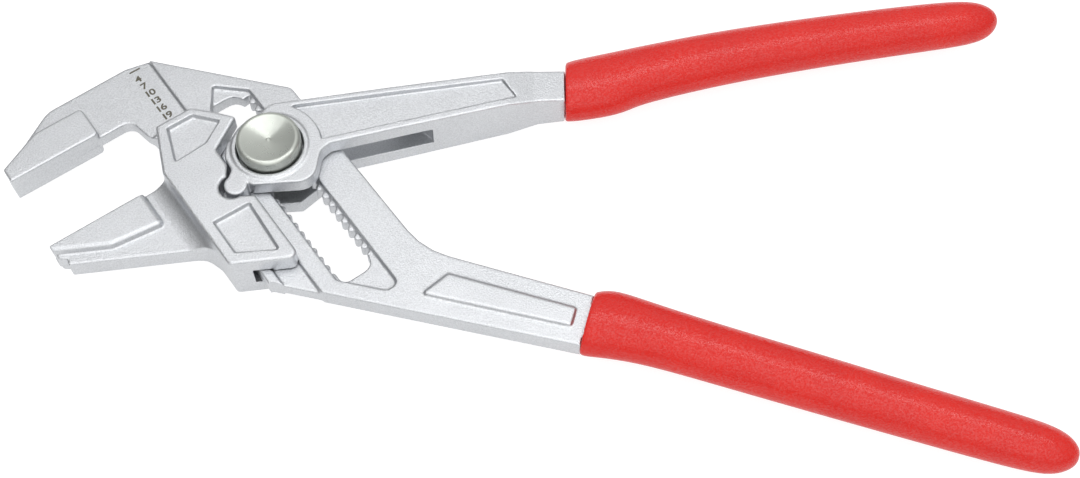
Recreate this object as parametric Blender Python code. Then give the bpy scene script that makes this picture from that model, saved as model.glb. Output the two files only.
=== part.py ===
"""Water pump pliers of the parallel-jaw kind: a fixed jaw leg with a toothed slot, a forked lever,
a jaw that slides on the leg's rail, and a push button that holds the lever in the slot.
The middle plane of the tool is flat, +X runs towards the grips and +Z is up."""
import math

import bmesh
import bpy
from mathutils import Vector

# Thicknesses, measured square to the middle plane (metres)
plate_thickness = 0.0054
cheek_thickness = 0.0044
running_gap = 0.0003
weld_distance = 0.000001
jaw_pad_thickness = 0.0085
jaw_web_thickness = 0.0054
groove_depth = 0.0008
overrun = 0.002

# Guide of the leg: u runs down the guide from the bolt's place, v runs across it towards the grips
guide_angle = math.radians(-54)
step_drop = 0.0109
groove_width = 0.0064
rail_width = 0.0027
rail_relief = 0.0013
plate_crest = 0.0152
bend_radius = 0.021

# Toothed slot and the sunk field round it
tooth_pitch = 0.003
tooth_depth = 0.0011
low_tooth_depth = 0.0008
steps_up = 6
steps_down = 12
slot_width = 0.0092
slot_offset = 0.0005
slot_end_radius = 0.0032
slot_corner_radius = 0.0019
field_depth = 0.0012
field_margin = 0.0016
back_field_depth = 0.0004

# Jaws
jaw_opening = 0.0226
fixed_face_place = 0.0313
jaw_reach = 0.0578
fixed_jaw_depth = 0.0155
pad_length = 0.0248
pad_depth = 0.0098
pad_slope = 0.0012
throat_radius = 0.0024
moving_tip_reach = 0.0587
moving_pad_tip_width = 0.0020
web_tip_width = 0.0066
web_step_width = 0.0036
web_step_reach = 0.0016
web_root_width = 0.0228

# Sliding jaw's block
block_top = 0.0104
block_foot = 0.0260
block_head = 0.0137
block_tail = 0.0316
pocket_depth = 0.0011
pocket_margin = 0.0022

# Lever, in its own frame: along the handle from the bolt, and across it
lever_angle = math.radians(12.5)
lever_length = 0.1982
lever_rise = 0.0070
lever_grip_place = 0.0785
head_radius = 0.0112
head_floor = 0.0115
head_side = 0.0120
head_corner = 0.0050
lobe_u = 0.00475
lobe_v = 0.01285
lobe_radius = 0.003
lobe_gap = 0.00035
lobe_play = 0.0009
handle_thickness_at_grip = 0.010
tang_thickness = 0.0066
tang_width = 0.0076
fork_depth = 0.0415
fork_top_depth = 0.030
lip_width = 0.0016
lip_height = 0.0004
panel_depth = 0.0007
panel_arc_radius = 0.0131

# Leg's handle, in its own frame
leg_angle = math.radians(-15)
leg_length = 0.2081
leg_drop = 0.0250
leg_grip_place = 0.0897
leg_panel_height = 0.0007
leg_tang_width = 0.0090

# Grips
grip_thickness = 0.0130
grip_width = 0.0168

# Bolt, button, spring, washer and ring
shank_radius = 0.0038
stud_radius = 0.0020
button_radius = 0.0080
button_stand = 0.0039
button_travel = 0.0026
button_disc = 0.0020
button_wall = 0.0010
dish_depth = 0.0009
button_shoulder = 0.0011
hole_gap = 0.0006
seat_thickness = 0.0011
spring_wire_radius = 0.0004
spring_turns = 3
tail_radius = 0.0036
washer_radius = 0.0068
washer_thickness = 0.0004
ring_radius = 0.0062
ring_thickness = 0.0005
ring_mouth_angle = math.radians(60)
collar_height = 0.0022

# Rounding of forged and machined edges
forged_round = 0.0011
machined_round = 0.0004
handle_round = 0.0014

# Worked out from the sizes above
plate_half = plate_thickness / 2
fork_half = plate_half + running_gap
face_half = fork_half + cheek_thickness
floor_half = plate_half - groove_depth
neck_half = floor_half
lip_half = floor_half + running_gap
pad_half = jaw_pad_thickness / 2
web_half = jaw_web_thickness / 2
rail_top = step_drop + groove_width
rail_foot = rail_top + rail_width
channel_foot = rail_foot + rail_relief
fixed_face = -fixed_face_place
moving_face = fixed_face + jaw_opening
slot_high = slot_width / 2 - slot_offset
slot_low = -slot_width / 2 - slot_offset
slot_first = -(steps_up + 1) * tooth_pitch
slot_last = (steps_down + 1) * tooth_pitch
layer_top = plate_half - field_depth
layer_foot = -plate_half + back_field_depth
collar_top = layer_foot + button_travel
collar_foot = collar_top - collar_height
hole_radius = button_radius + hole_gap
ring_outer = hole_radius + lip_width
seat_top = fork_half + seat_thickness
button_top = face_half + button_stand
disc_foot = button_top - button_disc
washer_floor = -face_half + washer_thickness + ring_thickness + running_gap * 3


def guide(u, v):
    """A place on the leg's guide as a place in the plan."""
    c, s = math.cos(guide_angle), math.sin(guide_angle)
    return u * c - v * s, u * s + v * c


def turned(angle, along, across):
    """A place in a handle's frame as a place in the plan."""
    c, s = math.cos(angle), math.sin(angle)
    return along * c - across * s, along * s + across * c


def lever(along, across):
    return turned(lever_angle, along, across)


def leg(along, across):
    return turned(leg_angle, along, across)


def arc(centre, radius, start, end, steps):
    """Places along an arc, angles in degrees."""
    angles = [math.radians(start + (end - start) * i / steps) for i in range(steps + 1)]
    return [(centre[0] + radius * math.cos(a), centre[1] + radius * math.sin(a)) for a in angles]


def rounded(corners):
    """An outline from (place, radius) corners, each radius made an arc that touches both sides."""
    outline = []
    for i, (place, radius) in enumerate(corners):
        here = Vector(place)
        before = (Vector(corners[i - 1][0]) - here)
        after = (Vector(corners[(i + 1) % len(corners)][0]) - here)
        if not radius:
            outline.append(tuple(here))
            continue
        half = before.angle(after) / 2
        reach = min(radius / math.tan(half), before.length * 0.49, after.length * 0.49)
        radius = reach * math.tan(half)
        centre = here + (before.normalized() + after.normalized()).normalized() * radius / math.sin(half)
        first = here + before.normalized() * reach - centre
        turn = first.angle_signed(here + after.normalized() * reach - centre)
        steps = max(2, math.ceil(abs(turn) / math.radians(15)))
        for k in range(steps + 1):
            a = -turn * k / steps
            c, s = math.cos(a), math.sin(a)
            outline.append((centre.x + first.x * c - first.y * s, centre.y + first.x * s + first.y * c))
    return outline


def material(name, colour, roughness, metallic):
    made = bpy.data.materials.new(name)
    made.use_nodes = True
    shader = made.node_tree.nodes["Principled BSDF"]
    shader.inputs["Base Color"].default_value = (*colour, 1)
    shader.inputs["Roughness"].default_value = roughness
    shader.inputs["Metallic"].default_value = metallic
    return made


def add_object(name, bm, finish=None, smooth=True):
    bmesh.ops.remove_doubles(bm, verts=bm.verts, dist=weld_distance)
    bmesh.ops.recalc_face_normals(bm, faces=bm.faces)
    mesh = bpy.data.meshes.new(name)
    bm.to_mesh(mesh)
    bm.free()
    if smooth:
        mesh.shade_smooth()
        mesh.set_sharp_from_angle(angle=math.radians(35))
    made = bpy.data.objects.new(name, mesh)
    bpy.context.scene.collection.objects.link(made)
    if finish:
        mesh.materials.append(finish)
    return made


def as_cutter(made):
    made.hide_render = True
    made.display_type = "WIRE"
    return made


def prism_mesh(outline, low, high, edge_round=0.0, sharp=None):
    """An outline made into a plate from low to high, with its rims rounded where sharp doesn't say."""
    bm = bmesh.new()
    ring = [bm.verts.new((x, y, low)) for x, y in outline]
    cap = bm.faces.new(ring)
    grown = bmesh.ops.extrude_face_region(bm, geom=[cap])
    top = [v for v in grown["geom"] if isinstance(v, bmesh.types.BMVert)]
    bmesh.ops.translate(bm, verts=top, vec=(0, 0, high - low))
    bmesh.ops.recalc_face_normals(bm, faces=bm.faces)
    if edge_round:
        rims = [e for e in bm.edges if abs(e.verts[0].co.z - e.verts[1].co.z) < edge_round * 0.01]
        if sharp:
            rims = [e for e in rims if not sharp((e.verts[0].co + e.verts[1].co) / 2)]
        bmesh.ops.bevel(bm, geom=rims, offset=edge_round, segments=2, profile=0.5,
                        affect="EDGES", clamp_overlap=True, material=-1)
    return bm


def prism(name, outline, low, high, edge_round=0.0, finish=None, sharp=None):
    return add_object(name, prism_mesh(outline, low, high, edge_round, sharp), finish)


def across_guide_prism(name, profile, start, end):
    """A (v, z) profile carried along the guide from start to end."""
    bm = bmesh.new()
    near = [bm.verts.new((*guide(start, v), z)) for v, z in profile]
    far = [bm.verts.new((*guide(end, v), z)) for v, z in profile]
    bm.faces.new(near)
    bm.faces.new(far[::-1])
    for i in range(len(profile)):
        k = (i + 1) % len(profile)
        bm.faces.new((near[i], far[i], far[k], near[k]))
    return as_cutter(add_object(name, bm, smooth=False))


def turned_piece(name, profile, sides, finish=None, start=0.0, sweep=2 * math.pi):
    """An (r, z) profile spun round the bolt's axis. A whole turn is closed on itself."""
    bm = bmesh.new()
    whole = sweep >= 2 * math.pi
    rings = []
    for i in range(sides if whole else sides + 1):
        a = start + sweep * i / sides
        rings.append([bm.verts.new((r * math.cos(a), r * math.sin(a), z)) for r, z in profile])
    count = len(rings) if whole else len(rings) - 1
    for i in range(count):
        here, there = rings[i], rings[(i + 1) % len(rings)]
        for j in range(len(profile)):
            k = (j + 1) % len(profile)
            bm.faces.new((here[j], there[j], there[k], here[k]))
    if not whole:
        bm.faces.new(rings[0])
        bm.faces.new(rings[-1][::-1])
    bmesh.ops.remove_doubles(bm, verts=bm.verts, dist=weld_distance)
    bmesh.ops.delete(bm, geom=[e for e in bm.edges if not e.link_faces], context="EDGES")
    return add_object(name, bm, finish)


def combine(target, tool, operation="DIFFERENCE"):
    cut = target.modifiers.new(tool.name, "BOOLEAN")
    cut.operation = operation
    cut.solver = "EXACT"
    cut.object = as_cutter(tool)
    return target


def finish_shading(made):
    """Keeps flat faces flat in the shading where cuts meet them."""
    evened = made.modifiers.new("even_normals", "WEIGHTED_NORMAL")
    evened.weight = 100
    evened.keep_sharp = True
    return made


def mirrored_pair(build, name):
    """The same tool on the front and the back of the middle plane."""
    return [build(name + "_front", 1), build(name + "_back", -1)]


def band(side, low, high):
    """Heights low to high on one side of the middle plane, lowest first."""
    return (low, high) if side > 0 else (-high, -low)


# Fixed jaw leg

def leg_outline():
    shoulder = leg_grip_place - running_gap
    upper = [(shoulder * a, leg_drop * b) for a, b in leg_upper_edge_shares]
    lower = [(shoulder * a, leg_drop * b) for a, b in leg_lower_edge_shares]
    tang = tang_sides(leg, shoulder, leg_length, leg_drop, leg_tang_width / 2, leg_tang_shares)
    back = fixed_face - fixed_jaw_depth
    return rounded([
        (guide(fixed_face, -jaw_reach), 0),
        (guide(fixed_face - running_gap, -rail_foot - throat_radius * 1.7), throat_radius * 1.2),
        (guide(fixed_face + throat_radius * 2.6, -rail_foot - throat_radius * 1.2), throat_radius),
        (guide(fixed_face + throat_radius * 5.2, -rail_foot), throat_radius * 2),
        (guide(fixed_face * -1, -rail_foot), 0),
        (leg(*lower[0]), 0),
        (leg(*lower[1]), 0),
        *[(place, 0) for place in tang],
        (leg(*upper[1]), 0),
        (leg(*upper[0]), bend_radius),
        (guide(-fixed_face_place / 2, plate_crest), throat_radius),
        (guide(back + fixed_jaw_depth * 0.08, -step_drop), throat_radius),
        (guide(back - running_gap, -rail_top), throat_radius * 2),
        (guide(back, -jaw_reach * 0.7), throat_radius * 3),
        (guide(fixed_face - fixed_jaw_depth * 0.32, -jaw_reach), throat_radius),
    ])


leg_upper_edge_shares = ((0.507, -0.642), (1.0, -0.712))
leg_lower_edge_shares = ((0.131, -1.392), (1.0, -1.274))
leg_tang_shares = ((0.0, -0.991, 1.0), (0.13, -0.945, 1.0), (0.43, -1.016, 0.95), (0.93, -1.142, 0.62))


def tang_sides(frame, start, length, rise, half, shares, spare=0.0):
    """Both sides of a tang, out along its lower side and back along its upper side."""
    lower, upper = [], []
    for along, line, width in shares:
        t = start + (length - start) * along
        lower.append(frame(t, line * rise - width * half - spare))
        upper.append(frame(t, line * rise + width * half + spare))
    return lower + upper[::-1]


gap_shares = ((-0.39, 0), (-0.29, 0.2), (-0.22, 0.6), (-0.18, 1), (0.18, 1), (0.22, 0.6), (0.29, 0.2), (0.39, 0))
phase_share = 0.25


def slot_wall(level, depth):
    """One toothed side of the slot, from the jaw end to the grip end."""
    places = []
    for i in range(-steps_up - 1, steps_down + 1):
        middle = (i + phase_share) * tooth_pitch
        places += [(middle + a * tooth_pitch, level + b * depth) for a, b in gap_shares]
    return places


def slot_outline():
    upper = slot_wall(slot_high, tooth_depth)
    lower = slot_wall(slot_low, -low_tooth_depth)
    start, end = slot_first - tooth_pitch * 0.73, slot_last + tooth_pitch * 0.87
    large, small, narrow = slot_end_radius, slot_corner_radius, lower[0][0] - start
    near_end = arc((start + large, slot_high * 0.75 - large), large, 100, 180, 6)
    near_end += arc((start + narrow, slot_low + narrow), narrow, 180, 270, 4)
    far_end = arc((end - small, slot_low + small), small, 270, 360, 4)
    far_end += arc((end - large, slot_high - large), large, 0, 90, 6)
    outline = near_end + lower[1:] + far_end + upper[:2:-1]
    return [guide(u, v) for u, v in outline]


def field_outline():
    """The sunk field round the slot: an elongated hexagon."""
    high = slot_high + tooth_depth + running_gap * 2
    low = slot_low - low_tooth_depth - running_gap / 2
    return rounded([
        (guide(slot_first - tooth_pitch * 2.4, slot_low * 0.25), machined_round),
        (guide(slot_first - tooth_pitch * 2.0, slot_low * 0.42), machined_round),
        (guide(slot_first, low), machined_round),
        (guide(slot_last + tooth_pitch * 0.35, low), machined_round),
        (guide(slot_last + tooth_pitch * 3.6, slot_high * 0.62), field_margin),
        (guide(slot_last + tooth_pitch * 3.5, high), field_margin),
        (guide(slot_first - tooth_pitch * 0.2, high), machined_round),
    ])


def groove_cutter(name, side):
    low, high = band(side, floor_half, plate_half + overrun)
    places = [
        guide(fixed_face - fixed_jaw_depth - overrun, -rail_top),
        guide(slot_last + tooth_pitch * 3, -rail_top),
        guide(slot_last + tooth_pitch * 3, -step_drop),
        guide(fixed_face - fixed_jaw_depth - overrun, -step_drop),
    ]
    return prism(name, places, low, high)


def neck_cutter(name, side):
    """Thins the jaw's neck below the groove, up to where the rail's full thickness begins."""
    low, high = band(side, neck_half, plate_half + overrun)
    rail_start = fixed_face + throat_radius * 2.6
    places = [
        guide(fixed_face - fixed_jaw_depth - overrun, -rail_top + overrun),
        guide(fixed_face - fixed_jaw_depth - overrun, -jaw_reach - overrun),
        guide(rail_start + overrun, -jaw_reach - overrun),
        guide(rail_start + overrun, -rail_foot - overrun),
        guide(rail_start, -rail_top + overrun),
    ]
    return prism(name, places, low, high)


def fixed_pad(name, side):
    low, high = band(side, neck_half / 2, pad_half)
    inner = -jaw_reach + pad_length
    places = rounded([
        (guide(fixed_face, -jaw_reach), 0),
        (guide(fixed_face, inner), pad_slope),
        (guide(fixed_face - pad_depth, inner), throat_radius / 2),
        (guide(fixed_face - pad_depth, -jaw_reach * 0.8), throat_radius),
        (guide(fixed_face - fixed_jaw_depth * 0.28, -jaw_reach), 0),
    ])
    across, along = Vector(guide(1, 0)), Vector(guide(0, 1))

    def gripping_face(place):
        on_face = abs(place.xy.dot(across) - fixed_face) < pad_slope / 2
        on_tip = abs(place.xy.dot(along) + jaw_reach) < pad_slope / 2
        inside = abs(place.z) < neck_half
        return on_face or on_tip or inside
    return prism(name, places, low, high, pad_slope, sharp=gripping_face)


def size_panel():
    """Raised bare panel on the front of the leg's handle."""
    line = [(leg_grip_place * a, leg_drop * b) for a, b in size_panel_shares]
    places = rounded([(leg(a, b), panel_depth) for a, b in line])
    return prism("size_panel", places, plate_half / 2, plate_half + leg_panel_height, panel_depth * 0.7)


size_panel_shares = ((0.542, -1.140), (0.595, -0.853), (0.960, -0.895), (0.960, -1.103))


def make_leg(steel):
    corner = Vector(guide(fixed_face, -jaw_reach))
    across, along = Vector(guide(1, 0)), Vector(guide(0, 1))

    def kept_sharp(place):
        """The gripping face and the tip stay crisp."""
        u, v = place.xy.dot(across), place.xy.dot(along)
        on_face = abs(u - corner.dot(across)) < machined_round and v < -rail_foot
        on_tip = abs(v + jaw_reach) < machined_round and u < 0
        return on_face or on_tip
    made = prism("fixed_jaw_leg", leg_outline(), -plate_half, plate_half, machined_round, steel, kept_sharp)
    for pad in mirrored_pair(neck_cutter, "neck_cut"):
        combine(made, pad)
    for pad in mirrored_pair(groove_cutter, "groove_cut"):
        combine(made, pad)
    for pad in mirrored_pair(fixed_pad, "fixed_pad"):
        combine(made, pad, "UNION")
    combine(made, size_panel(), "UNION")
    combine(made, prism("slot_cut", slot_outline(), -plate_half - overrun, plate_half + overrun))
    field = field_outline()
    combine(made, prism("field_cut_front", field, layer_top, plate_half + overrun))
    combine(made, prism("field_cut_back", field, -plate_half - overrun, layer_foot))
    return finish_shading(made)


# Sliding jaw

def block_outline():
    pocket_end = -lobe_v - lobe_play
    pocket = arc((lobe_u, pocket_end), lobe_radius + lobe_gap, 0, -180, 12)
    head_side_u = -head_radius - running_gap
    corners = [
        (guide(-block_head - groove_width * 1.36, -rail_foot - running_gap * 2), throat_radius / 2),
        (guide(moving_face - running_gap, -block_foot), throat_radius / 2),
        (guide(block_tail * 0.75, -block_foot), throat_radius / 2),
        (guide(block_tail * 1.02, -block_top), throat_radius * 0.8),
        (guide(lobe_u + lobe_radius * 1.75, -block_top), throat_radius / 3),
        (guide(lobe_u + lobe_radius * 1.15, pocket_end + running_gap), 0),
    ]
    corners += [(guide(u, v), 0) for u, v in pocket]
    corners += [
        (guide(lobe_u - lobe_radius * 1.13, -lobe_v - running_gap * 2), 0),
        (guide(-lobe_radius * 0.55, -head_radius - running_gap), throat_radius / 2),
        (guide(head_side_u * 0.62, -head_radius - running_gap), throat_radius / 3),
        (guide(head_side_u * 1.13, -head_radius * 0.2), throat_radius / 3),
        (guide(-block_head - groove_width * 0.77, -block_top * 0.65), 0),
        (guide(-block_head - groove_width * 1.36, -block_top), throat_radius / 2),
    ]
    return rounded(corners)


def channel_profile():
    """(v, z) section of the way through the block: the plate's slot, the lips and the rail's way."""
    top = block_foot
    lip_high = -step_drop - running_gap
    lip_low = -rail_top + running_gap
    right = [(top, fork_half), (lip_high, fork_half), (lip_high, lip_half), (lip_low, lip_half),
             (lip_low, fork_half), (-channel_foot, fork_half)]
    return right + [(v, -z) for v, z in right[::-1]]


def throat_cutter():
    """Opens the block's floor on the jaw side, so that it passes the leg's throat when it closes."""
    slack = running_gap * 2
    reach = moving_face - running_gap
    places = [
        guide(-block_foot * 2, -rail_top),
        guide(-block_foot * 2, -block_foot - overrun),
        guide(reach, -block_foot - overrun),
        guide(reach + slack, -block_foot),
        guide(reach + throat_radius, -rail_foot - throat_radius * 1.75),
        guide(reach + throat_radius * 4, -channel_foot - running_gap / 2),
        guide(reach + throat_radius * 4.4, -rail_top),
    ]
    return prism("throat_cut", places, -fork_half, fork_half)


def web_outline(inset=0.0):
    """Plan of the jaw's web, stepped at its tip. The inset draws its outer edge in, for the sweep on it."""
    root, outer = -block_foot + overrun, moving_face - inset
    tip = running_gap - moving_tip_reach
    return rounded([
        (guide(moving_face, root), 0),
        (guide(moving_face, tip), 0),
        (guide(outer + web_step_width, tip), machined_round),
        (guide(outer + web_step_width * 1.4, tip + web_step_reach), 0),
        (guide(outer + web_tip_width, tip + web_step_reach * 0.7), throat_radius / 4),
        (guide(outer + web_root_width * 0.99, -block_foot - throat_radius * 0.75), throat_radius * 1.4),
        (guide(outer + web_root_width * 1.2, -block_foot + running_gap), 0),
        (guide(outer + web_root_width * 1.2, root), 0),
    ])


def moving_pad(name, side):
    low, high = band(side, web_half / 2, pad_half)
    inner = -jaw_reach + pad_length + running_gap * 2
    places = rounded([
        (guide(moving_face, inner), 0),
        (guide(moving_face, -moving_tip_reach), 0),
        (guide(moving_face + moving_pad_tip_width, -moving_tip_reach), 0),
        (guide(moving_face + pad_depth * 0.91, -jaw_reach * 0.797), throat_radius / 2),
        (guide(moving_face + pad_depth * 1.09, inner), throat_radius / 2),
    ])
    across, along = Vector(guide(1, 0)), Vector(guide(0, 1))

    def gripping_face(place):
        on_face = abs(place.xy.dot(across) - moving_face) < pad_slope / 2
        on_tip = abs(place.xy.dot(along) + moving_tip_reach) < pad_slope / 2
        return on_face or on_tip or abs(place.z) < web_half
    return prism(name, places, low, high, pad_slope, sharp=gripping_face)


def gusset_profile():
    """(v, z) section of the hollow sweep from the thick block down to the web: a quarter of an oval."""
    drop = jaw_reach - pad_length - block_foot
    foot = web_half - running_gap / 2
    rise = face_half - forged_round - foot
    turns = [math.radians(90 * i / gusset_steps) for i in range(gusset_steps + 1)]
    curve = [(-block_foot - drop * (1 - math.cos(a)), foot + rise * (1 - math.sin(a))) for a in turns]
    top = (-block_foot + overrun, face_half - forged_round)
    side = [top] + curve
    return side + [(v, -z) for v, z in side[::-1]]


gusset_steps = 10


def block_pocket(name, side, shares):
    low, high = band(side, face_half - pocket_depth, face_half + overrun)
    span, depth = block_tail, block_foot
    places = rounded([(guide(span * a, -depth * b), throat_radius / 4) for a, b in shares])
    return sloped_pocket(name, places, low, high, side)


def sloped_pocket(name, places, low, high, side):
    """A shallow pocket whose walls lean outwards."""
    bm = bmesh.new()
    floor, mouth = (low, high) if side > 0 else (high, low)
    cap = bm.faces.new([bm.verts.new((x, y, mouth)) for x, y in places])
    grown = bmesh.ops.extrude_face_region(bm, geom=[cap])
    face = [f for f in grown["geom"] if isinstance(f, bmesh.types.BMFace)][0]
    bmesh.ops.translate(bm, verts=face.verts, vec=(0, 0, floor - mouth))
    middle = face.calc_center_median()
    for v in face.verts:
        away = (v.co.xy - middle.xy)
        v.co.xy = middle.xy + away * (1 - pocket_depth * 1.3 / away.length)
    return as_cutter(add_object(name, bm, smooth=False))


upper_pocket_shares = ((-0.665, 0.735), (-0.665, 0.405), (-0.455, 0.2), (-0.3, 0.465), (-0.3, 0.875))
lower_pocket_shares = ((0.32, 0.908), (0.33, 0.465), (0.892, 0.508), (0.703, 0.919))


def make_sliding_jaw(steel):
    made = prism("sliding_jaw", block_outline(), -face_half, face_half, forged_round, steel)
    combine(made, prism("web", web_outline(), -web_half, web_half, machined_round), "UNION")
    for pad in mirrored_pair(moving_pad, "moving_pad"):
        combine(made, pad, "UNION")
    sweep = across_guide_prism("gusset", gusset_profile(), moving_face + running_gap, block_tail)
    combine(sweep, prism("gusset_plan", web_outline(machined_round / 2), -face_half, face_half), "INTERSECT")
    combine(made, sweep, "UNION")
    way = across_guide_prism("rail_way", channel_profile(), -block_foot * 2, block_foot * 2)
    combine(made, way)
    combine(made, throat_cutter())
    for side, word in ((1, "front"), (-1, "back")):
        combine(made, block_pocket("upper_pocket_" + word, side, upper_pocket_shares))
        combine(made, block_pocket("lower_pocket_" + word, side, lower_pocket_shares))
    return finish_shading(made)


# Lever

lever_top_shares = ((0.120, 1.789), (0.882, 1.404), (1.0, 1.200))
lever_under_shares = ((0.192, -0.331), (0.890, 0.011), (1.0, -0.119))
lever_tang_shares = ((0.0, 0.538, 1.0), (0.17, 0.849, 1.0), (0.45, 0.985, 0.95), (0.93, 0.552, 0.62))


def lever_shoulder(across):
    """A place on the upright face where the lever's grip begins, a running gap short of it."""
    middle = lever_rise * lever_grip_shares[0][1]
    return lever(lever_grip_place - running_gap + math.tan(lever_angle) * (across - middle), across)


def lever_outline():
    top = [(lever_grip_place * a, lever_rise * b) for a, b in lever_top_shares]
    under = [(lever_grip_place * a, lever_rise * b) for a, b in lever_under_shares]
    tang_line = lever_rise * lever_tang_shares[0][1]
    tang = tang_sides(lever, lever_grip_place, lever_length, lever_rise, tang_width / 2, lever_tang_shares)
    lobe = arc(guide(lobe_u, -lobe_v), lobe_radius, 135, 372, 16)
    corners = [(place, 0) for place in lobe]
    corners += [
        ((-head_floor * 0.31, -head_floor), machined_round),
        ((head_side, -head_floor * 0.9), head_corner),
        ((head_side * 1.08, -head_floor * 0.09), head_corner * 0.7),
        (lever(*under[0]), 0),
        (lever(*under[1]), 0),
        (lever_shoulder(under[2][1]), 0),
        (lever_shoulder(tang_line - tang_width / 2), 0),
        *[(place, 0) for place in tang[1:-1]],
        (lever_shoulder(tang_line + tang_width / 2), 0),
        (lever_shoulder(top[2][1]), 0),
        (lever(*top[1]), 0),
        ((-head_radius * 0.14, head_radius * 1.17), head_corner),
    ]
    corners += [(place, 0) for place in arc((0, 0), ring_outer - machined_round, 115, 160, 5)]
    corners += [
        ((-head_radius, head_radius * 0.06), head_corner / 2),
        ((-head_radius, -head_radius * 0.3), head_corner / 2),
        ((-head_radius * 0.82, -head_radius * 0.62), machined_round),
    ]
    return rounded(corners)


handle_side_shares = ((0.40, 0.0), (0.80, 0.22), (0.89, 0.75), (0.985, 1.0))


def handle_stations():
    """(x, half thickness) along the handle, from the head to the tang."""
    end = lever_shoulder(0)[0]
    thin = handle_thickness_at_grip / 2
    stations = [(end * a, face_half + (thin - face_half) * b) for a, b in handle_side_shares]
    return stations + [(end - running_gap, thin), (end, tang_thickness / 2)]


def taper_handle(bm):
    stations = handle_stations()
    for x, _ in stations:
        geometry = bm.verts[:] + bm.edges[:] + bm.faces[:]
        bmesh.ops.bisect_plane(bm, geom=geometry, plane_co=(x, 0, 0), plane_no=(1, 0, 0), dist=weld_distance)
    for v in bm.verts:
        half = stations[-1][1]
        for (x, thick), (end, thin) in zip(stations, stations[1:]):
            if v.co.x < end:
                half = thick + (thin - thick) * max(0.0, (v.co.x - x) / (end - x))
                break
        v.co.z *= half / face_half


def fork_outline():
    """Way for the leg's plate through the lever, open at the head and under the handle."""
    reach = head_radius * 2
    return [
        lever(-reach, -reach), lever(fork_depth, -reach), lever(fork_depth, 0),
        lever(fork_top_depth, lever_rise * lever_top_shares[0][1] + overrun), lever(-reach, reach),
    ]


def panel_outline():
    arc_ends = [math.degrees(lever_angle) + a for a in (60, -2)]
    left = arc((0, 0), panel_arc_radius, *arc_ends, 6)
    right = [(lever_grip_place * a, lever_rise * b) for a, b in panel_end_shares]
    return left + [lever(*right[0]), lever(*right[1])]


panel_end_shares = ((0.821, 0.297), (0.788, 1.155))


def rear_corner_cutter():
    """The rear cheek's lower corner is cut back further than the front one's."""
    near, far = head_side * 0.6, head_side * 1.05
    places = [(near, -head_floor * 0.943), (near, -head_floor - overrun), (far + overrun, -head_floor - overrun),
              (far + overrun, -head_floor * 0.478), (far, -head_floor * 0.478)]
    return prism("rear_corner", places, -face_half - overrun, -fork_half + running_gap)


def disc(name, radius, low, high, sides):
    bm = bmesh.new()
    bmesh.ops.create_cone(bm, cap_ends=True, segments=sides, radius1=radius, radius2=radius,
                          depth=high - low)
    bmesh.ops.translate(bm, verts=bm.verts, vec=(0, 0, (low + high) / 2))
    return add_object(name, bm)


def make_lever(steel):
    bm = prism_mesh(lever_outline(), -face_half, face_half, handle_round)
    taper_handle(bm)
    made = add_object("lever_handle", bm, steel)
    lip = [(hole_radius - machined_round, face_half - overrun), (ring_outer, face_half - overrun),
           (ring_outer, face_half), (ring_outer - lip_width * 0.4, face_half + lip_height),
           (hole_radius - machined_round, face_half + lip_height)]
    combine(made, turned_piece("lip", lip, 48), "UNION")
    combine(made, prism("fork_cut", fork_outline(), -fork_half, fork_half))
    combine(made, rear_corner_cutter())
    combine(made, disc("button_hole", hole_radius, seat_top, face_half + overrun, 48))
    shank_way = shank_radius + running_gap
    combine(made, disc("shank_hole", shank_way, -face_half - overrun, face_half, 32))
    collar_way = math.hypot(slot_low - tooth_depth, tooth_pitch) + running_gap
    collar_floor = collar_foot - button_travel - running_gap
    combine(made, disc("collar_way", collar_way, collar_floor, 0, 40))
    combine(made, disc("washer_way", washer_radius + running_gap, -face_half - overrun, washer_floor, 40))
    combine(made, prism("panel", panel_outline(), face_half - panel_depth * 2, face_half + overrun))
    return finish_shading(made)


# Bolt, button, spring, washer and ring

def collar_teeth(level, depth, numbers):
    """Teeth that fit the slot's gaps, a running gap slimmer on each side."""
    slim = running_gap / tooth_pitch
    places = []
    for i in numbers:
        middle = (i + phase_share) * tooth_pitch
        for share, rise in ((slim - 0.37, 0), (slim - 0.2, 1), (0.2 - slim, 1), (0.37 - slim, 0)):
            places.append((middle + share * tooth_pitch, level + rise * depth))
    return places


def collar_outline():
    """The bolt's toothed collar, cut back where it meets the slot's round end."""
    high, low = slot_high - running_gap, slot_low + running_gap
    end = tooth_pitch * 1.05
    lower = collar_teeth(low, -low_tooth_depth, (-1, 0))
    upper = collar_teeth(high, tooth_depth, (0,))
    outline = [(-end, low)] + lower + [(end, low), (end, high)] + upper[::-1]
    outline += [(-end * 0.5, high), (-end, high * 0.55)]
    return [guide(u, v) for u, v in outline]


def make_bolt(steel):
    tail = -face_half + running_gap / 2
    groove_top = washer_floor - washer_thickness - running_gap * 2
    groove_foot = groove_top - ring_thickness - running_gap * 0.5
    stud_top = disc_foot + button_disc / 4
    profile = [
        (0, tail), (tail_radius + running_gap, tail), (tail_radius + running_gap, groove_foot),
        (tail_radius - running_gap, groove_foot), (tail_radius - running_gap, groove_top),
        (shank_radius, groove_top), (shank_radius, disc_foot - running_gap),
        (stud_radius, disc_foot - running_gap), (stud_radius, stud_top - running_gap),
        (0, stud_top - running_gap),
    ]
    made = turned_piece("joint_bolt", profile, 32, steel)
    combine(made, prism("collar", collar_outline(), collar_foot, collar_top), "UNION")
    return made


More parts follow.
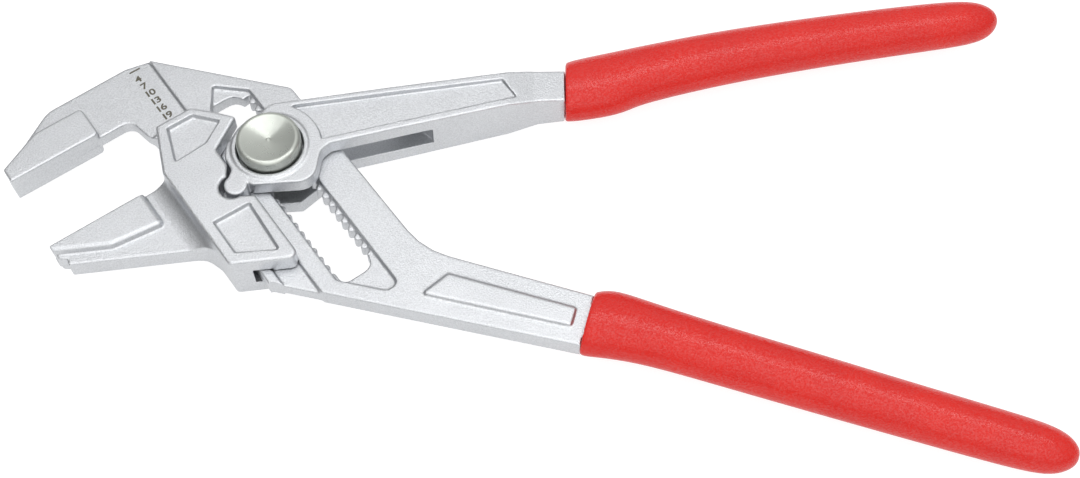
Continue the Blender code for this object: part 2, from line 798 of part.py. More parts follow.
def make_button(steel):
    skirt_foot = face_half - running_gap
    rim = button_radius - button_shoulder
    dish_radius = button_radius * 0.84
    turns = [math.radians(90 * i / shoulder_steps) for i in range(shoulder_steps + 1)]
    lift = button_top - button_shoulder
    shoulder = [(rim + button_shoulder * math.cos(a), lift + button_shoulder * math.sin(a)) for a in turns]
    stud_way = stud_radius + running_gap
    stud_top = disc_foot + button_disc / 4
    profile = [
        (0, stud_top), (stud_way, stud_top), (stud_way, disc_foot),
        (button_radius - button_wall, disc_foot), (button_radius - button_wall, skirt_foot),
        (button_radius, skirt_foot), *shoulder, (dish_radius, button_top), (0, button_top - dish_depth),
    ]
    return turned_piece("push_button", profile, 48, steel)


shoulder_steps = 3


def make_spring(steel):
    """Cone-shaped coil under the button, wide on its seat and slim at the top."""
    low = seat_top + running_gap + spring_wire_radius
    high = disc_foot - running_gap - spring_wire_radius
    slim = shank_radius + running_gap * 2 + spring_wire_radius
    wide = button_radius - button_wall - running_gap * 2 - spring_wire_radius
    curve = bpy.data.curves.new("button_spring", "CURVE")
    curve.dimensions = "3D"
    curve.bevel_depth = spring_wire_radius
    curve.bevel_resolution = 1
    curve.use_fill_caps = True
    line = curve.splines.new("POLY")
    steps = 12 * spring_turns
    line.points.add(steps)
    for i in range(steps + 1):
        share = i / steps
        a = 2 * math.pi * spring_turns * share
        r = wide + (slim - wide) * share
        line.points[i].co = (r * math.cos(a), r * math.sin(a), low + (high - low) * share, 1)
    made = bpy.data.objects.new("button_spring", curve)
    bpy.context.scene.collection.objects.link(made)
    curve.materials.append(steel)
    return made


def make_washer(steel):
    top = washer_floor - running_gap
    inner = shank_radius + running_gap
    profile = [(inner, top - washer_thickness), (washer_radius, top - washer_thickness),
               (washer_radius, top), (inner, top)]
    return turned_piece("rear_washer", profile, 36, steel)


def make_ring(steel):
    top = washer_floor - washer_thickness - running_gap * 2
    profile = [(tail_radius, top - ring_thickness), (ring_radius, top - ring_thickness),
               (ring_radius, top), (tail_radius, top)]
    profile = [(r, z - running_gap * 0.25) for r, z in profile]
    return turned_piece("retaining_ring", profile, 30, steel, ring_mouth_angle / 2,
                        2 * math.pi - ring_mouth_angle)


# Grips

lever_grip_shares = (
    (0.0, 0.742, 0.918, 0.98), (0.03, 0.736, 0.956, 1.0), (0.10, 0.731, 1.0, 1.0), (0.17, 0.900, 0.925, 1.0),
    (0.40, 1.0, 0.845, 1.0), (0.60, 0.906, 0.826, 0.98), (0.80, 0.722, 0.790, 0.94), (0.92, 0.566, 0.720, 0.88),
    (0.97, 0.476, 0.543, 0.68), (0.99, 0.430, 0.354, 0.45), (1.0, 0.411, 0.142, 0.2),
)
leg_grip_shares = (
    (0.0, -0.984, 0.964, 0.98), (0.02, -0.966, 0.991, 1.0), (0.05, -0.936, 1.0, 1.0), (0.13, -0.932, 0.904, 1.0),
    (0.43, -1.016, 0.862, 1.0), (0.60, -1.065, 0.827, 0.98), (0.80, -1.115, 0.773, 0.94),
    (0.92, -1.142, 0.706, 0.88), (0.97, -1.153, 0.525, 0.68), (0.99, -1.157, 0.347, 0.45), (1.0, -1.160, 0.136, 0.2),
)


def loft_grip(frame, start, length, rise, shares, lean, sides=20):
    """Oval sections along the handle, closed at the far end, with a square mouth."""
    bm = bmesh.new()
    rings = []
    for along_share, line, width, thick in shares:
        along = start + (length - start) * along_share
        half = grip_width / 2 * width
        ring = []
        for i in range(sides):
            a = 2 * math.pi * i / sides
            across = line * rise + half * math.cos(a)
            slant = math.tan(lean) * half * math.cos(a) * (1 - along_share)
            ring.append(bm.verts.new((*frame(along + slant, across),
                                      grip_thickness / 2 * thick * math.sin(a))))
        rings.append(ring)
    for here, there in zip(rings, rings[1:]):
        for i in range(sides):
            k = (i + 1) % sides
            bm.faces.new((here[i], here[k], there[k], there[i]))
    bm.faces.new(rings[0])
    bm.faces.new(rings[-1])
    return bm


def tang_cutter(name, frame, start, length, rise, shares, width, thickness):
    """Socket for the tang, a running gap wider all round."""
    sides = tang_sides(frame, start, length, rise, width / 2, shares, running_gap)
    before = start - overrun * 3
    line, half = rise * shares[0][1], width / 2 + running_gap
    far = [frame(t, a) for t, a in tang_end_places(start, length, rise, width, shares)]
    middle = len(sides) // 2
    places = [frame(before, line - half)] + sides[:middle] + far + sides[middle:] + [frame(before, line + half)]
    return prism(name, places, -thickness / 2 - running_gap, thickness / 2 + running_gap)


def tang_end_places(start, length, rise, width, shares):
    """The socket's end, a running gap past the tang's."""
    along, line, share = shares[-1]
    t = start + (length - start) * along + running_gap
    half = width / 2 * share + running_gap
    return [(t, line * rise - half), (t, line * rise + half)]


def make_grips(red):
    bm = loft_grip(lever, lever_grip_place, lever_length, lever_rise, lever_grip_shares, lever_angle)
    upper = add_object("upper_grip", bm, red)
    combine(upper, tang_cutter("upper_socket", lever, lever_grip_place, lever_length, lever_rise,
                               lever_tang_shares, tang_width, tang_thickness))
    bm = loft_grip(leg, leg_grip_place, leg_length, leg_drop, leg_grip_shares, 0.0)
    lower = add_object("lower_grip", bm, red)
    combine(lower, tang_cutter("lower_socket", leg, leg_grip_place, leg_length, leg_drop,
                               leg_tang_shares, leg_tang_width, plate_thickness))
    return upper, lower


# Assembly

def clear_scene():
    for made in list(bpy.data.objects):
        bpy.data.objects.remove(made, do_unlink=True)


def empty(name, parent=None, place=(0, 0, 0)):
    made = bpy.data.objects.new(name, None)
    bpy.context.scene.collection.objects.link(made)
    made.parent = parent
    made.location = place
    return made


def stand_on_floor(root, pieces):
    """Moves the tool so that the middle of its box's foot is the origin."""
    bpy.context.view_layer.update()
    graph = bpy.context.evaluated_depsgraph_get()
    places = []
    for piece in pieces:
        mesh = piece.evaluated_get(graph).to_mesh()
        places += [piece.matrix_world @ v.co for v in mesh.vertices]
    low = [min(p[i] for p in places) for i in range(3)]
    high = [max(p[i] for p in places) for i in range(3)]
    root.location = (-(low[0] + high[0]) / 2, -(low[1] + high[1]) / 2, -low[2])
    bpy.context.view_layer.update()
    print("box", [round(b - a, 5) for a, b in zip(low, high)], "bolt axis at", tuple(root.location))


def main():
    clear_scene()
    plated = material("satin plated steel", (0.62, 0.63, 0.65), 0.35, 0.9)
    bright = material("turned steel", (0.60, 0.60, 0.57), 0.22, 1.0)
    red = material("red dipped grip", (0.78, 0.05, 0.045), 0.5, 0.0)
    leg_piece = make_leg(plated)
    jaw = make_sliding_jaw(plated)
    lever_piece = make_lever(plated)
    upper_grip, lower_grip = make_grips(red)
    bolt, button = make_bolt(bright), make_button(bright)
    spring, washer, ring = make_spring(bright), make_washer(bright), make_ring(bright)
    root = empty("leg_frame")
    pivot = empty("pivot_frame", root)
    swing = empty("swing_frame", pivot)
    press = empty("press_frame", pivot)
    slide = empty("jaw_frame", pivot)
    carried = {root: (leg_piece, lower_grip), pivot: (washer, spring), swing: (lever_piece, upper_grip),
               press: (bolt, button, ring), slide: (jaw,)}
    for frame, pieces in carried.items():
        for piece in pieces:
            piece.parent = frame
    cutters = [o for o in bpy.data.objects if o.display_type == "WIRE" and o.type == "MESH"]
    for tool in cutters:
        tool.parent = root
    stand_on_floor(root, [p for pieces in carried.values() for p in pieces])


main()
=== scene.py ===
import math

import bmesh
import bpy
from mathutils import Matrix, Vector


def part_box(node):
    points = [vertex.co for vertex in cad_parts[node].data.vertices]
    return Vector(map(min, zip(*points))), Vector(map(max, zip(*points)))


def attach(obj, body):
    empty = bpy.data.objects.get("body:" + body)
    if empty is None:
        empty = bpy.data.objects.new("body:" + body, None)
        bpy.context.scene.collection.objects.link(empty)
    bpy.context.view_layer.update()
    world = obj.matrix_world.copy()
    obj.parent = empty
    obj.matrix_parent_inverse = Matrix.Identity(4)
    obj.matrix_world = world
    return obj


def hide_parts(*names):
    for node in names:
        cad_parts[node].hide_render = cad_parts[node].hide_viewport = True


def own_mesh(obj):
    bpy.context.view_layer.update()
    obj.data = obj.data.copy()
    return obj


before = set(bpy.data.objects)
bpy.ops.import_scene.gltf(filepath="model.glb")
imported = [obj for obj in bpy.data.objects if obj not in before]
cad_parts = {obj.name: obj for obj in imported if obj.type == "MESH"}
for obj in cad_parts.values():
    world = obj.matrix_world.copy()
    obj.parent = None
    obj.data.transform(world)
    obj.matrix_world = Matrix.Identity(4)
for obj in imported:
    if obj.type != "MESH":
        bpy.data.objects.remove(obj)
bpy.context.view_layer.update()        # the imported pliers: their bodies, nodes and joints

mm = 0.001

# The bolt's axis and the tool's middle plane, read from the frame
buttonLow, buttonHigh = (Vector(corner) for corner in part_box("push_button"))
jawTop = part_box("sliding_jaw")[1][2]
boltAxis = Vector(((buttonLow.x + buttonHigh.x) / 2, (buttonLow.y + buttonHigh.y) / 2, jawTop / 2))

# Directions in the plan, from the world's x axis
guideAngle = math.radians(-54)      # the leg's toothed slot
leverAngle = math.radians(12.5)
legAngle = math.radians(-15)


def place(angle, along, across, up=0.0):
    # A world place from millimetres off the bolt's axis, in a plan turned by angle
    c, s = math.cos(angle), math.sin(angle)
    return boltAxis + Vector((along * c - across * s, along * s + across * c, up)) * mm


# Colours and nodes

def hexToLinear(text):
    # The sRGB curve
    values = [int(text[i:i + 2], 16) / 255 for i in (0, 2, 4)]
    return [v / 12.92 if v <= 0.04045 else ((v + 0.055) / 1.055) ** 2.4 for v in values] + [1.0]


def addNode(tree, kind, settings=None, inputs=None, links=None):
    # One node: settings are its attributes, inputs its fixed values, links what feeds its sockets
    node = tree.nodes.new(kind)
    for name, value in (settings or {}).items():
        setattr(node, name, value)
    for name, value in (inputs or {}).items():
        node.inputs[name].default_value = value
    for name, socket in (links or {}).items():
        tree.links.new(socket, node.inputs[name])
    return node


def newMaterial(name, shaderInputs):
    made = bpy.data.materials.new(name)
    made.use_nodes = True
    tree = made.node_tree
    shader = tree.nodes["Principled BSDF"]
    for socket, value in shaderInputs.items():
        shader.inputs[socket].default_value = value
    coordinates = addNode(tree, "ShaderNodeTexCoord")
    return made, tree, shader, coordinates.outputs["Object"]


def addBumps(tree, shader, layers):
    # Each layer is (height socket, distance in mm, strength); later ones lie over earlier ones
    normal = None
    for height, distance, strength in layers:
        links = {"Height": height}
        if normal:
            links["Normal"] = normal
        bump = addNode(tree, "ShaderNodeBump",
                       inputs={"Distance": distance * mm, "Strength": strength}, links=links)
        normal = bump.outputs["Normal"]
    tree.links.new(normal, shader.inputs["Normal"])


def noise(tree, coordinates, grain, detail=2.0, roughness=0.5):
    # grain is the size of one grain on the real surface, in mm
    node = addNode(tree, "ShaderNodeTexNoise",
                   inputs={"Scale": 1 / (grain * mm), "Detail": detail, "Roughness": roughness},
                   links={"Vector": coordinates})
    return node.outputs["Fac"]


def ramp(tree, factor, stops):
    node = addNode(tree, "ShaderNodeValToRGB", links={"Fac": factor})
    elements = node.color_ramp.elements
    for index, (position, colour) in enumerate(stops):
        element = elements[index] if index < 2 else elements.new(position)
        element.position, element.color = position, colour
    return node.outputs["Color"]


def spread(tree, factor, low, high, fromLow=0.0, fromHigh=1.0):
    node = addNode(tree, "ShaderNodeMapRange",
                   inputs={"From Min": fromLow, "From Max": fromHigh,
                           "To Min": low, "To Max": high},
                   links={"Value": factor})
    return node.outputs["Result"]


def tint(tree, factor, looks):
    # From the deep colour to the pale one, over the part of the factor that tintSpan gives
    start, end = looks["tintSpan"]
    deep, pale = hexToLinear(looks["deep"]), hexToLinear(looks["pale"])
    return ramp(tree, factor, [(start, deep), (end, pale)])


# In all looks a noise is its grain in mm, its detail and its roughness, and a bump is its distance
# in mm and its strength

platedLooks = {
    "deep": "CED0D3", "pale": "E7E9EC", "tintSpan": (0.5, 0.9),     # nickel under clear chromate
    "roughness": (0.29, 0.46),
    "cloud": {"grain": 14.0, "detail": 3.0}, "cloudShare": (0.1, 0.3),
    "blast": {"grain": 0.40, "detail": 3.0, "roughness": 0.6}, "blastBump": (0.11, 1.0),
    "forge": {"grain": 3.2}, "forgeBump": (0.10, 0.25),
}


def satinNickelPlate():
    # Forged steel, shot-blasted and nickel plated: soft wide glints, a fine sand in the light
    looks = platedLooks
    made, tree, shader, where = newMaterial("satin nickel plated forging", {"Metallic": 1.0})
    cloud = noise(tree, where, **looks["cloud"])
    blast = noise(tree, where, **looks["blast"])
    sand = addNode(tree, "ShaderNodeMath", {"operation": "ADD"},
                   links={0: spread(tree, cloud, *looks["cloudShare"]), 1: blast})
    tree.links.new(tint(tree, sand.outputs["Value"], looks), shader.inputs["Base Color"])
    forge = noise(tree, where, **looks["forge"])
    tree.links.new(spread(tree, blast, *looks["roughness"]), shader.inputs["Roughness"])
    addBumps(tree, shader, [(forge, *looks["forgeBump"]), (blast, *looks["blastBump"])])
    return made


turnedLooks = {
    "metal": "C9CDC6", "anisotropy": 0.85, "roughness": (0.22, 0.36),
    "scuffs": {"grain": 1.6, "detail": 4.0, "roughness": 0.7},
    "ringPitch": 0.22, "ringDistortion": 0.6, "ringDetail": 2.0, "ringBump": (0.006, 0.35),
}
waveWidth = 0.314       # metres from ring to ring of a wave texture at scale 1


def turnedSteel():
    # Free-cutting steel straight off the lathe: fine rings that pull each glint into a wedge
    looks = turnedLooks
    made, tree, shader, where = newMaterial("lathe turned steel", {
        "Metallic": 1.0, "Anisotropic": looks["anisotropy"],
        "Base Color": hexToLinear(looks["metal"])})
    centred = addNode(tree, "ShaderNodeMapping", inputs={"Location": -boltAxis},
                      links={"Vector": where})
    outward = addNode(tree, "ShaderNodeVectorMath", {"operation": "MULTIPLY"},
                      {1: (1 / mm, 1 / mm, 0)}, {0: centred.outputs["Vector"]})
    tree.links.new(outward.outputs["Vector"], shader.inputs["Tangent"])
    rings = addNode(tree, "ShaderNodeTexWave", {"wave_type": "RINGS", "rings_direction": "Z"},
                    {"Scale": waveWidth / (looks["ringPitch"] * mm),
                     "Distortion": looks["ringDistortion"], "Detail": looks["ringDetail"]},
                    {"Vector": centred.outputs["Vector"]})
    scuffs = noise(tree, where, **looks["scuffs"])
    tree.links.new(spread(tree, scuffs, *looks["roughness"]), shader.inputs["Roughness"])
    addBumps(tree, shader, [(rings.outputs["Fac"], *looks["ringBump"])])
    return made


gripLooks = {
    "deep": "D6241E", "pale": "DE281F", "tintSpan": (0.25, 0.75),
    "roughness": (0.17, 0.30),
    "gloss": (0.27, 0.74), "glossSpan": (0.38, 0.68),
    "patch": {"grain": 9.0},
    "peel": {"grain": 0.9}, "peelBump": (0.10, 1.0),
    "pits": {"grain": 0.45, "detail": 1.0}, "pitsBump": (0.03, 1.0),
    "plastic": {"IOR": 1.5, "Subsurface Weight": 0.08, "Subsurface Radius": (0.002, 0.0006, 0.0004),
                "Coat Weight": 0.05, "Coat Roughness": 0.3},
}


def dippedRedPvc():
    # PVC plastisol, hot dipped: an even red with a faint orange peel and a soft, speckled sheen
    looks = gripLooks
    made, tree, shader, where = newMaterial("dipped red PVC", looks["plastic"])
    patch = noise(tree, where, **looks["patch"])
    tree.links.new(tint(tree, patch, looks), shader.inputs["Base Color"])
    peel = noise(tree, where, **looks["peel"])
    pits = noise(tree, where, **looks["pits"])
    tree.links.new(spread(tree, peel, *looks["roughness"]), shader.inputs["Roughness"])
    glints = spread(tree, pits, *looks["gloss"], *looks["glossSpan"])
    tree.links.new(glints, shader.inputs["Specular IOR Level"])
    addBumps(tree, shader, [(peel, *looks["peelBump"]), (pits, *looks["pitsBump"])])
    return made


etchLooks = {
    "burn": "6B685D", "metallic": 0.4, "roughness": 0.62,
    "speckle": {"grain": 0.15}, "speckleBump": (0.02, 0.4),
}


def etchedMark():
    # Laser-etched steel: a dull grey-brown burn on the bright rail
    looks = etchLooks
    made, tree, shader, where = newMaterial("laser etched mark", {
        "Metallic": looks["metallic"], "Roughness": looks["roughness"],
        "Base Color": hexToLinear(looks["burn"])})
    speckle = noise(tree, where, **looks["speckle"])
    addBumps(tree, shader, [(speckle, *looks["speckleBump"])])
    return made


# Meshes

weldDistance = 0.0005       # mm


def finishMesh(name, bm, material, smooth=True):
    bmesh.ops.remove_doubles(bm, verts=bm.verts, dist=weldDistance * mm)
    bmesh.ops.recalc_face_normals(bm, faces=bm.faces)
    mesh = bpy.data.meshes.new(name)
    bm.to_mesh(mesh)
    bm.free()
    mesh.materials.append(material)
    if smooth:
        mesh.shade_smooth()
    made = bpy.data.objects.new(name, mesh)
    bpy.context.scene.collection.objects.link(made)
    return made


def meshCopy(node):
    bm = bmesh.new()
    bm.from_mesh(bpy.data.objects[node].data)
    return bm


def bakedMesh(made):
    bpy.context.view_layer.update()
    graph = bpy.context.evaluated_depsgraph_get()
    return bpy.data.meshes.new_from_object(made.evaluated_get(graph), depsgraph=graph)


def applyModifiers(made):
    baked = bakedMesh(made)
    made.modifiers.clear()
    made.data = baked


def triangleCount(made):
    return sum(len(face.vertices) - 2 for face in made.data.polygons)


forgings = {
    # node: (new piece, body, voxel in mm, smoothing passes)
    "fixed_jaw_leg": ("leg_forging", "leg", 0.26, 5),
    "sliding_jaw": ("jaw_forging", "jaw", 0.20, 5),
    "lever_handle": ("lever_forging", "lever", 0.22, 5),
}
passStrength = 0.5
mostTriangles = 150000


def forgedCopy(node, material):
    # A merged copy of the node, remade as one even skin and softened as blasting and plating do
    name, body, voxel, passes = forgings[node]
    made = finishMesh(name, meshCopy(node), material)
    skin = made.modifiers.new("skin", "REMESH")
    skin.mode, skin.voxel_size, skin.use_smooth_shade = "VOXEL", voxel * mm, True
    soft = made.modifiers.new("soft", "SMOOTH")
    soft.factor, soft.iterations = passStrength, passes
    applyModifiers(made)
    triangles = triangleCount(made)
    if triangles > mostTriangles:
        thin = made.modifiers.new("thin", "DECIMATE")
        thin.ratio = mostTriangles / triangles
        applyModifiers(made)
    made.data.materials.clear()
    made.data.materials.append(material)
    made.data.shade_smooth()
    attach(made, body)
    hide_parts(node)
    print("forging", name, "triangles", triangleCount(made))


gripMake = {
    "points": 24, "thick": 6.45,            # points round the handle, half the thickness in mm
    "rim": 0.35,                            # mm of rounding at the mouth's rim
    "boreDepth": 0.9, "rimDepth": 0.4,      # mm behind the mouth for the two rings inside it
    "fineness": 2,                          # subdivision levels
}
gripShapes = {
    # Lengths in mm; mouth: middle line, half width and half thickness of the hole in the grip;
    # stations along the handle: (share of the way, middle line, half width, share of the thickness)
    "upper_grip": {
        "name": "upper_dipped_grip", "body": "lever", "angle": leverAngle,
        "start": 78.5, "end": 198.0, "lean": 12.5, "mouth": (3.8, 4.3, 4.7), "mouthReach": 0.5,
        "stations": [
            (0.0, 5.05, 8.5, 0.97), (0.03, 5.0, 8.85, 1.0), (0.09, 4.95, 9.15, 1.0),
            (0.135, 5.3, 8.95, 1.0), (0.165, 6.05, 8.25, 1.0), (0.28, 6.7, 7.85, 1.0),
            (0.40, 6.95, 7.5, 1.0), (0.60, 6.35, 7.1, 0.98), (0.80, 5.05, 6.8, 0.94),
            (0.91, 4.1, 6.5, 0.90), (0.955, 3.7, 5.7, 0.78), (0.98, 3.55, 4.3, 0.60),
            (0.995, 3.5, 2.5, 0.38), (1.0, 3.5, 1.0, 0.16)]},
    "lower_grip": {
        "name": "lower_dipped_grip", "body": "leg", "angle": legAngle,
        "start": 89.7, "end": 207.9, "lean": 0.0, "mouth": (-24.8, 6.9, 2.9), "mouthReach": 0.28,
        "stations": [
            (0.0, -24.2, 8.5, 0.97), (0.02, -23.65, 8.85, 1.0), (0.05, -23.05, 8.85, 1.0),
            (0.13, -23.2, 7.75, 1.0), (0.28, -24.4, 7.4, 1.0), (0.43, -25.4, 7.25, 1.0),
            (0.60, -26.6, 6.95, 0.98), (0.80, -27.9, 6.65, 0.94), (0.91, -28.5, 6.4, 0.90),
            (0.955, -28.6, 5.6, 0.78), (0.98, -28.5, 4.2, 0.60), (0.995, -28.5, 2.5, 0.38),
            (1.0, -28.5, 1.0, 0.16)]},
}


def gripRing(bm, shape, along, middle, half, thick, lean):
    # An oval round the handle, leaning so that the upper grip's mouth stands upright in the plan
    ring = bmesh.ops.create_circle(bm, segments=gripMake["points"], radius=1.0)["verts"]
    for vert in ring:
        across, up = vert.co.x * half, vert.co.y * thick
        vert.co = place(shape["angle"], along + math.tan(lean) * across, middle + across, up)
    return ring


def ringEdges(ring):
    members = set(ring)
    return [edge for vert in ring for edge in vert.link_edges if edge.other_vert(vert) in members]


def dippedGrip(node, material):
    # A shell through rings: two inside the mouth, two round its rim, then the stations to the tip
    shape = gripShapes[node]
    length = shape["end"] - shape["start"]
    lean = math.radians(shape["lean"])
    lip = shape["start"] - shape["mouthReach"]
    rim = gripMake["rim"]
    middle, half, thick = shape["mouth"]
    outerMiddle, outerHalf, outerShare = shape["stations"][0][1:]
    outerThick = gripMake["thick"] * outerShare
    bm = bmesh.new()
    rings = [
        gripRing(bm, shape, shape["start"] + gripMake["boreDepth"], middle, half, thick, lean),
        gripRing(bm, shape, lip + gripMake["rimDepth"], middle, half, thick, lean),
        gripRing(bm, shape, lip, middle, half + rim, thick + rim, lean),
        gripRing(bm, shape, lip, outerMiddle, outerHalf - rim, outerThick - rim, lean),
    ]
    for share, middle, half, thickShare in shape["stations"]:
        along = shape["start"] + length * share + (rim if share == 0.0 else 0.0)
        thick = gripMake["thick"] * thickShare
        rings.append(gripRing(bm, shape, along, middle, half, thick, lean * (1 - share)))
    for here, there in zip(rings, rings[1:]):
        edges = set(ringEdges(here)) | set(ringEdges(there))
        bmesh.ops.bridge_loops(bm, edges=list(edges))
    bmesh.ops.contextual_create(bm, geom=list(rings[-1]))
    bmesh.ops.contextual_create(bm, geom=list(rings[0]))
    made = finishMesh(shape["name"], bm, material)
    finer = made.modifiers.new("finer", "SUBSURF")
    finer.levels = finer.render_levels = gripMake["fineness"]
    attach(made, shape["body"])
    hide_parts(node)


buttonShape = {
    # Radii from the bolt's axis and heights over the tool's middle plane, in mm
    "radius": 8.15, "top": 11.3, "skirtFoot": 7.1, "skirtInner": 7.0, "footBevel": 0.15,
    "discFoot": 9.3, "shoulder": 1.05, "shoulderSteps": 6,
    "dishRadius": 6.85, "dishDepth": 0.95, "dishEdge": (0.18, 0.07),    # the edge goes in and down
    "pip": 0.6, "pipDepth": 0.22, "pipTaper": 0.12,
    "studHole": 2.3, "studTop": 9.8,
    "turnSteps": 96, "sharpAngle": 32,
}


def turnedButton(material):
    # The section runs from the stud's hole round the skirt and over the top to the pip
    shape = buttonShape
    top, radius, foot = shape["top"], shape["radius"], shape["skirtFoot"]
    rounding, bevel = shape["shoulder"], shape["footBevel"]
    edgeIn, edgeDown = shape["dishEdge"]
    dishFloor = top - shape["dishDepth"]
    pipFloor = dishFloor - shape["pipDepth"]
    turns = [math.pi / 2 * i / shape["shoulderSteps"] for i in range(shape["shoulderSteps"] + 1)]
    shoulder = [(radius - rounding * (1 - math.cos(a)), top - rounding * (1 - math.sin(a)))
                for a in turns]
    profile = [
        (shape["studHole"], shape["discFoot"]), (shape["skirtInner"], shape["discFoot"]),
        (shape["skirtInner"], foot), (radius - bevel, foot), (radius, foot + bevel),
        *shoulder,
        (shape["dishRadius"], top), (shape["dishRadius"] - edgeIn, top - edgeDown),
        (shape["pip"], dishFloor), (shape["pip"] - shape["pipTaper"], pipFloor), (0.0, pipFloor),
    ]
    plug = [(shape["studHole"], shape["studTop"]), (0.0, shape["studTop"])]
    bm = bmesh.new()
    outer, inner = ([bm.verts.new(boltAxis + Vector((r, 0, z)) * mm) for r, z in line]
                    for line in (profile, plug))
    edges = [bm.edges.new(pair) for pair in zip(outer, outer[1:])]
    edges += [bm.edges.new((outer[0], inner[0])), bm.edges.new((inner[0], inner[1]))]
    bmesh.ops.spin(bm, geom=outer + inner + edges, cent=boltAxis, axis=(0, 0, 1),
                   angle=2 * math.pi, steps=shape["turnSteps"], use_merge=True)
    made = finishMesh("turned_button", bm, material)
    made.data.set_sharp_from_angle(angle=math.radians(shape["sharpAngle"]))
    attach(made, "bolt")
    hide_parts("push_button")


def coilSpring(material):
    # A copy of the spring under the button, hung on the pivot body; the real spring shortens as the
    # button goes down
    made = finishMesh("coil_spring", meshCopy("button_spring"), material)
    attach(made, "pivot")
    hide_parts("button_spring")
    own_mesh(made)


railMarks = {
    # In mm, along and across the slot from the bolt's axis; floor is the rail's face over the
    # middle plane, wide and spacing are shares of the letters' own
    "floor": 1.90, "height": 0.03, "size": 2.75, "wide": 1.25, "boldness": 0.07, "spacing": 0.80,
    "curveSteps": 3,
    "numbers": [("4", -42.05, -16.0), ("7", -39.2, -15.8), ("10", -36.3, -15.65),
                ("13", -33.3, -15.6), ("16", -30.4, -15.6), ("19", -27.4, -15.5)],
    "tick": {"along": -45.1, "from": -17.0, "to": -13.9, "width": 0.46},
}


def onRail(along, across):
    return place(guideAngle, along, across, railMarks["floor"] + railMarks["height"] / 2)


def railNumber(text, along, across, material):
    curve = bpy.data.curves.new("rail_number_" + text, "FONT")
    curve.body, curve.size = text, railMarks["size"] * mm
    curve.extrude = railMarks["height"] * mm / 2
    curve.space_character = railMarks["spacing"]
    curve.offset = railMarks["boldness"] * mm
    curve.align_x, curve.align_y = "CENTER", "CENTER"
    curve.resolution_u = railMarks["curveSteps"]
    source = bpy.data.objects.new("source", curve)
    bpy.context.scene.collection.objects.link(source)
    mesh = bakedMesh(source)
    bpy.data.objects.remove(source)
    turn = Matrix.Rotation(guideAngle + math.pi / 2, 4, "Z")
    widened = Matrix.Diagonal((railMarks["wide"], 1, 1, 1))
    mesh.transform(Matrix.Translation(onRail(along, across)) @ turn @ widened)
    bm = bmesh.new()
    bm.from_mesh(mesh)
    return finishMesh("rail_number_" + text, bm, material, smooth=False)


def railTick(material):
    tick = railMarks["tick"]
    middle = onRail(tick["along"], (tick["from"] + tick["to"]) / 2)
    sides = (tick["width"] * mm, (tick["to"] - tick["from"]) * mm, railMarks["height"] * mm, 1.0)
    bm = bmesh.new()
    bmesh.ops.create_cube(bm, size=1.0)
    turn = Matrix.Rotation(guideAngle, 4, "Z")
    bm.transform(Matrix.Translation(middle) @ turn @ Matrix.Diagonal(sides))
    return finishMesh("rail_tick", bm, material, smooth=False)


def railScale(material):
    made = [railNumber(*number, material) for number in railMarks["numbers"]]
    made.append(railTick(material))
    for piece in made:
        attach(piece, "leg")


# Studio

studio = {
    "cameraBack": 197.5, "cameraUp": 342.1, "tilt": 30.0, "lens": 52.6, "sensor": 36.0,
    "lookX": 68.516, "lookY": -22.978,      # mm from the bolt's axis to the picture's middle
    # The floor is in metres but for its drop in mm; it glows, and more so for the camera
    "floorSize": 6.0, "floorDrop": 0.3, "floorColour": "A6A6A6", "floorRoughness": 0.9,
    "floorBounce": 0.53, "floorGlow": 0.30,
    "worldStrength": 1.0, "glossStrength": 1.36,
    # The sky that glints show: (share of the way, brightness)
    "glossByHeight": [(0.0, 0.12), (0.45, 0.46), (0.74, 0.63), (0.83, 0.75), (0.90, 0.84),
                      (0.95, 0.98), (1.0, 0.98)],                       # from the horizon up
    "glossByDepth": [(0.0, 1.8), (0.35, 1.3), (0.55, 1.0), (1.0, 1.0)],     # from front to back
    "glossByWidth": [(0.0, 0.33), (0.30, 0.66), (0.42, 0.95), (0.60, 1.0), (0.72, 0.88),
                     (1.0, 0.60)],                                      # from left to right
}
toolMiddle = (boltAxis.x + 60 * mm, boltAxis.y, 0)
lamps = {
    # Places and sizes in metres; glint says whether the lamp itself shows as a reflection
    "key": {"spot": (-0.30, 0.35, 0.80), "aim": toolMiddle, "size": (0.4, 0.4),
            "power": 0.6, "glint": False},
    "fill": {"spot": (0.08, -0.60, 0.70), "aim": toolMiddle, "size": (1.0, 0.8),
             "power": 1.45, "glint": False},
    "strip": {"spot": (0.05, 0.20, 1.0), "aim": (0.03, 0, 0), "size": (1.2, 0.12),
              "power": 1.35, "glint": True},
}


def makeCamera():
    data = bpy.data.cameras.new("camera")
    data.lens, data.sensor_width = studio["lens"], studio["sensor"]
    camera = bpy.data.objects.new("camera", data)
    bpy.context.scene.collection.objects.link(camera)
    aim = boltAxis + Vector((studio["lookX"], studio["lookY"], 0)) * mm
    camera.location = aim + Vector((0, -studio["cameraBack"], studio["cameraUp"])) * mm
    camera.rotation_euler = (math.radians(studio["tilt"]), 0, 0)
    bpy.context.scene.camera = camera


def areaLight(name, spot, aim, size, power, glint):
    data = bpy.data.lights.new(name, "AREA")
    data.shape, data.size, data.size_y, data.energy = "RECTANGLE", size[0], size[1], power
    lamp = bpy.data.objects.new(name, data)
    bpy.context.scene.collection.objects.link(lamp)
    lamp.location = spot
    lamp.rotation_euler = (Vector(aim) - Vector(spot)).to_track_quat("-Z", "Y").to_euler()
    lamp.visible_glossy = glint


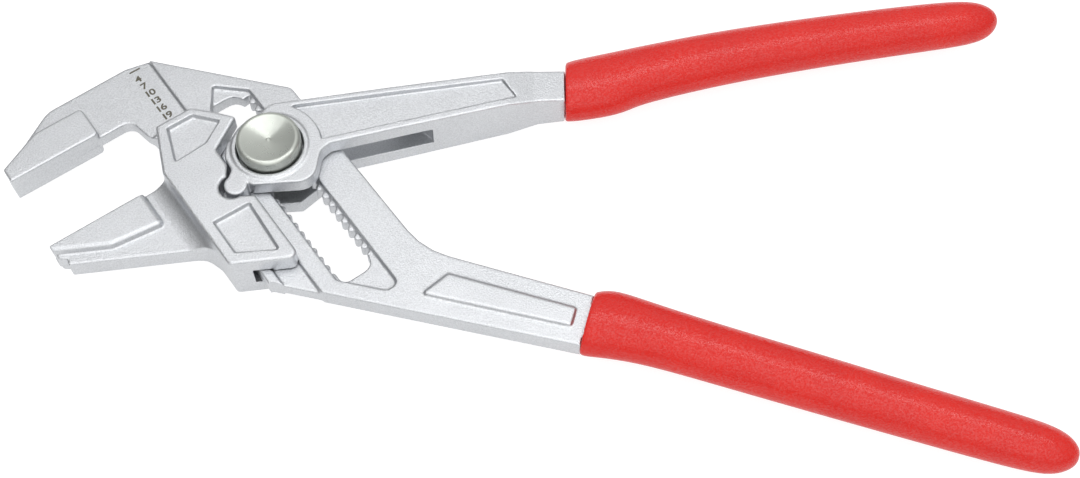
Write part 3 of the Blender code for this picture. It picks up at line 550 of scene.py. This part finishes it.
def makeFloor():
    bm = bmesh.new()
    bmesh.ops.create_grid(bm, x_segments=1, y_segments=1, size=studio["floorSize"] / 2)
    bm.transform(Matrix.Translation((0, 0, -studio["floorDrop"] * mm)))
    paper, tree, shader, _ = newMaterial("white seamless paper", {
        "Base Color": hexToLinear(studio["floorColour"]), "Roughness": studio["floorRoughness"],
        "Emission Color": (1, 1, 1, 1)})
    path = addNode(tree, "ShaderNodeLightPath")
    glow = addNode(tree, "ShaderNodeMath", {"operation": "MULTIPLY_ADD"},
                   {1: studio["floorGlow"], 2: studio["floorBounce"]},
                   {0: path.outputs["Is Camera Ray"]})
    tree.links.new(glow.outputs["Value"], shader.inputs["Emission Strength"])
    floor = finishMesh("floor", bm, paper, smooth=False)


def makeWorld():
    # Three skies: an even one that lights, a graded one that glints show, white for the camera
    world = bpy.data.worlds.new("studio")
    bpy.context.scene.world = world
    world.use_nodes = True
    tree = world.node_tree
    tree.nodes.clear()
    path = addNode(tree, "ShaderNodeLightPath")
    where = addNode(tree, "ShaderNodeTexCoord")
    split = addNode(tree, "ShaderNodeSeparateXYZ", links={"Vector": where.outputs["Generated"]})
    strength = addNode(tree, "ShaderNodeValue").outputs["Value"]
    strength.default_value = studio["glossStrength"]
    grades = (("Z", 0, "glossByHeight"), ("Y", -1, "glossByDepth"), ("X", -1, "glossByWidth"))
    for axis, low, stops in grades:
        share = spread(tree, split.outputs[axis], 0.0, 1.0, fromLow=low)
        part = ramp(tree, share, [(position, (v, v, v, 1)) for position, v in studio[stops]])
        product = addNode(tree, "ShaderNodeMath", {"operation": "MULTIPLY"},
                          links={0: part, 1: strength})
        strength = product.outputs["Value"]
    light = addNode(tree, "ShaderNodeBackground", inputs={"Strength": studio["worldStrength"]})
    shine = addNode(tree, "ShaderNodeBackground", inputs={"Color": (1, 1, 1, 1)},
                    links={"Strength": strength})
    white = addNode(tree, "ShaderNodeBackground", inputs={"Color": (1, 1, 1, 1), "Strength": 1.0})
    glossy = addNode(tree, "ShaderNodeMixShader", links={
        "Fac": path.outputs["Is Glossy Ray"], 1: light.outputs[0], 2: shine.outputs[0]})
    seen = addNode(tree, "ShaderNodeMixShader", links={
        "Fac": path.outputs["Is Camera Ray"], 1: glossy.outputs[0], 2: white.outputs[0]})
    addNode(tree, "ShaderNodeOutputWorld", links={"Surface": seen.outputs[0]})


# Making

makeCamera()
makeWorld()
makeFloor()
for name, lamp in lamps.items():
    areaLight(name, **lamp)
print("studio is set")

plate = satinNickelPlate()
turned = turnedSteel()
red = dippedRedPvc()
for node in forgings:
    forgedCopy(node, plate)
for node in gripShapes:
    dippedGrip(node, red)
print("grips are dipped")
turnedButton(turned)
coilSpring(turned)
for node in ("joint_bolt", "rear_washer", "retaining_ring"):
    mesh = bpy.data.objects[node].data
    mesh.materials.clear()
    mesh.materials.append(turned)
railScale(etchedMark())
print("bolt group and rail scale are made")

bpy.context.scene.view_settings.view_transform = "Standard"
